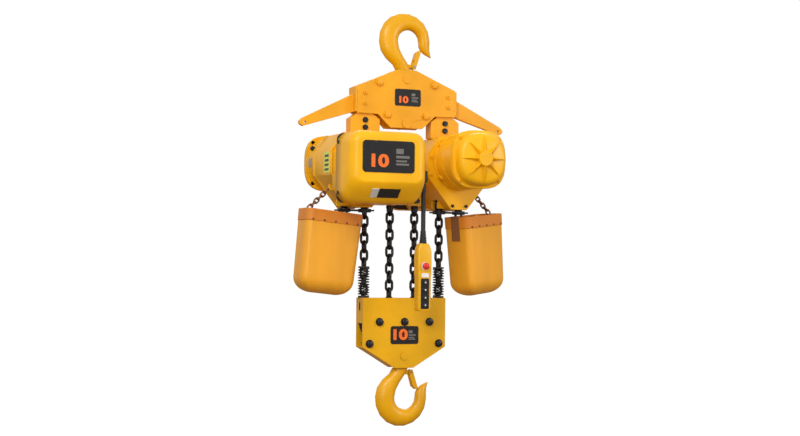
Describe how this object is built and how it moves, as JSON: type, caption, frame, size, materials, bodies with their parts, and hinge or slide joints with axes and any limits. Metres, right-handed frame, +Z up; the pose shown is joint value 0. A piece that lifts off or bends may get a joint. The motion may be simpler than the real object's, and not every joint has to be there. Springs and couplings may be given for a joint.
{
  "type": "electric chain hoist",
  "caption": "Hook-suspended electric chain hoist with two hoist units on a plate frame, a multi-fall bottom block with load hook, chain buckets and a pendant control.",
  "frame": {"origin": "the saddle of the top hook, where the hoist hangs", "axes": "+Z up, -Y front, +X to the right seen from the front"},
  "size_m": [0.9367, 0.74, 1.675],
  "materials": {
    "yellow_paint": "smooth gloss yellow paint",
    "black_steel": "blackened steel",
    "bare_steel": "machined steel",
    "bucket_plastic": "moulded orange plastic",
    "pendant_plastic": "moulded yellow plastic",
    "cable_rubber": "smooth black rubber",
    "black_plastic": "moulded black plastic",
    "red_plastic": "moulded red plastic"
  },
  "bodies": {
    "frame": {"frame_plate_front": "yellow_paint", "frame_plate_rear": "yellow_paint", "frame_tie_bolt_1": "black_steel", "frame_tie_bolt_2": "black_steel", "frame_tie_bolt_3": "black_steel", "frame_tie_bolt_4": "black_steel", "top_hook_crosshead": "bare_steel", "pendant_gland": "black_plastic", "side_arm_left": "yellow_paint", "suspension_lug_left": "yellow_paint", "control_cover_left": "yellow_paint", "main_casing_left": "yellow_paint", "motor_housing_left": "yellow_paint", "motor_end_cover_left": "yellow_paint", "slack_chain_left": "black_steel", "side_arm_right": "yellow_paint", "suspension_lug_right": "yellow_paint", "control_cover_right": "yellow_paint", "main_casing_right": "yellow_paint", "motor_housing_right": "yellow_paint", "motor_end_cover_right": "yellow_paint", "slack_chain_right": "black_steel"},
    "hanging_hook": {"top_hook": "yellow_paint"},
    "hanging_latch": {"top_hook_latch": "yellow_paint"},
    "block": {"block_plate_front": "yellow_paint", "block_plate_rear": "yellow_paint", "block_top_cover": "yellow_paint", "bottom_hook_crosshead": "bare_steel", "block_tie_bolt_1": "black_steel", "block_tie_bolt_2": "black_steel", "block_tie_bolt_3": "black_steel", "idler_axle_left": "black_steel", "chain_spring_left": "black_steel", "load_chain_left": "black_steel", "idler_axle_right": "black_steel", "chain_spring_right": "black_steel", "load_chain_right": "black_steel"},
    "load_hook": {"bottom_hook": "yellow_paint"},
    "load_latch": {"bottom_hook_latch": "yellow_paint"},
    "idler_left": {"idler_sheave_left": "bare_steel"},
    "drive_left": {"load_sheave_left": "bare_steel", "load_gear_left": "bare_steel"},
    "rotor_left": {"motor_rotor_left": "bare_steel"},
    "lever_left": {"limit_lever_left": "black_steel"},
    "bucket_left": {"chain_bucket_left": "bucket_plastic", "bucket_hanger_left": "black_steel"},
    "idler_right": {"idler_sheave_right": "bare_steel"},
    "drive_right": {"load_sheave_right": "bare_steel", "load_gear_right": "bare_steel"},
    "rotor_right": {"motor_rotor_right": "bare_steel"},
    "lever_right": {"limit_lever_right": "black_steel"},
    "bucket_right": {"chain_bucket_right": "bucket_plastic", "bucket_hanger_right": "black_steel"},
    "pendant": {"pendant_shell": "pendant_plastic", "pendant_cable": "cable_rubber"},
    "stop_button": {"emergency_stop": "red_plastic"},
    "button_1": {"push_button_1": "black_plastic"},
    "button_2": {"push_button_2": "black_plastic"},
    "button_3": {"push_button_3": "black_plastic"},
    "button_4": {"push_button_4": "black_plastic"}
  },
  "joints": [
    {"name": "top_hook_swivel", "type": "hinge", "parent": "frame", "child": "hanging_hook", "pos_m": [0, 0, -0.2], "axis": [0, 0, 1], "continuous": true},
    {"name": "top_latch_hinge", "type": "hinge", "parent": "hanging_hook", "child": "hanging_latch", "pos_m": [0.042, 0, -0.149], "axis": [0, -1, 0], "range_deg": [0, 32], "stiffness_Nm_per_rad": 0.6, "springref_deg": -22.92},
    {"name": "block_lift", "type": "slide", "parent": "frame", "child": "block", "axis": [0, 0, 1], "range_m": [0, 0.204], "deforming": ["load_chain_left", "load_chain_right"]},
    {"name": "bottom_hook_swivel", "type": "hinge", "parent": "block", "child": "load_hook", "pos_m": [0, 0, -1.33], "axis": [0, 0, 1], "continuous": true},
    {"name": "bottom_latch_hinge", "type": "hinge", "parent": "load_hook", "child": "load_latch", "pos_m": [0.042, 0, -1.39], "axis": [0, 1, 0], "range_deg": [0, 32], "stiffness_Nm_per_rad": 0.6, "springref_deg": -22.92},
    {"name": "idler_spin_left", "type": "hinge", "parent": "block", "child": "idler_left", "pos_m": [-0.109, 0, -1.185], "axis": [0, 1, 0], "continuous": true},
    {"name": "sheave_spin_left", "type": "hinge", "parent": "frame", "child": "drive_left", "pos_m": [-0.208, 0, -0.63], "axis": [0, 1, 0], "continuous": true},
    {"name": "rotor_spin_left", "type": "hinge", "parent": "frame", "child": "rotor_left", "pos_m": [-0.208, 0, -0.538], "axis": [0, 1, 0], "continuous": true},
    {"name": "lever_rock_left", "type": "hinge", "parent": "frame", "child": "lever_left", "pos_m": [-0.208, 0, -0.74], "axis": [0, 1, 0], "range_deg": [-6, 6], "stiffness_Nm_per_rad": 4},
    {"name": "bucket_swing_left", "type": "hinge", "parent": "frame", "child": "bucket_left", "pos_m": [-0.308, 0, -0.655], "axis": [1, 0, 0], "range_deg": [-8, 8]},
    {"name": "idler_spin_right", "type": "hinge", "parent": "block", "child": "idler_right", "pos_m": [0.109, 0, -1.185], "axis": [0, 1, 0], "continuous": true},
    {"name": "sheave_spin_right", "type": "hinge", "parent": "frame", "child": "drive_right", "pos_m": [0.208, 0, -0.63], "axis": [0, 1, 0], "continuous": true},
    {"name": "rotor_spin_right", "type": "hinge", "parent": "frame", "child": "rotor_right", "pos_m": [0.208, 0, -0.538], "axis": [0, 1, 0], "continuous": true},
    {"name": "lever_rock_right", "type": "hinge", "parent": "frame", "child": "lever_right", "pos_m": [0.208, 0, -0.74], "axis": [0, 1, 0], "range_deg": [-6, 6], "stiffness_Nm_per_rad": 4},
    {"name": "bucket_swing_right", "type": "hinge", "parent": "frame", "child": "bucket_right", "pos_m": [0.32, 0, -0.655], "axis": [1, 0, 0], "range_deg": [-8, 8]},
    {"name": "pendant_swing", "type": "hinge", "parent": "frame", "child": "pendant", "pos_m": [-0.016, -0.25, -0.624], "axis": [1, 0, 0], "range_deg": [-15, 15]},
    {"name": "stop_press", "type": "slide", "parent": "pendant", "child": "stop_button", "axis": [0, 1, 0], "range_m": [0, 0.005], "stiffness_N_per_m": 400},
    {"name": "button_press_1", "type": "slide", "parent": "pendant", "child": "button_1", "axis": [0, 1, 0], "range_m": [0, 0.0035], "stiffness_N_per_m": 400},
    {"name": "button_press_2", "type": "slide", "parent": "pendant", "child": "button_2", "axis": [0, 1, 0], "range_m": [0, 0.0035], "stiffness_N_per_m": 400},
    {"name": "button_press_3", "type": "slide", "parent": "pendant", "child": "button_3", "axis": [0, 1, 0], "range_m": [0, 0.0035], "stiffness_N_per_m": 400},
    {"name": "button_press_4", "type": "slide", "parent": "pendant", "child": "button_4", "axis": [0, 1, 0], "range_m": [0, 0.0035], "stiffness_N_per_m": 400}
  ],
  "couplings": [
    {"joint": "idler_spin_left", "follows": "block_lift", "rad_per_m": 18.182},
    {"joint": "sheave_spin_left", "follows": "block_lift", "rad_per_m": -45.455},
    {"joint": "rotor_spin_left", "follows": "block_lift", "rad_per_m": 163.64},
    {"joint": "idler_spin_right", "follows": "block_lift", "rad_per_m": -18.182},
    {"joint": "sheave_spin_right", "follows": "block_lift", "rad_per_m": 45.455},
    {"joint": "rotor_spin_right", "follows": "block_lift", "rad_per_m": -163.64}
  ]
}
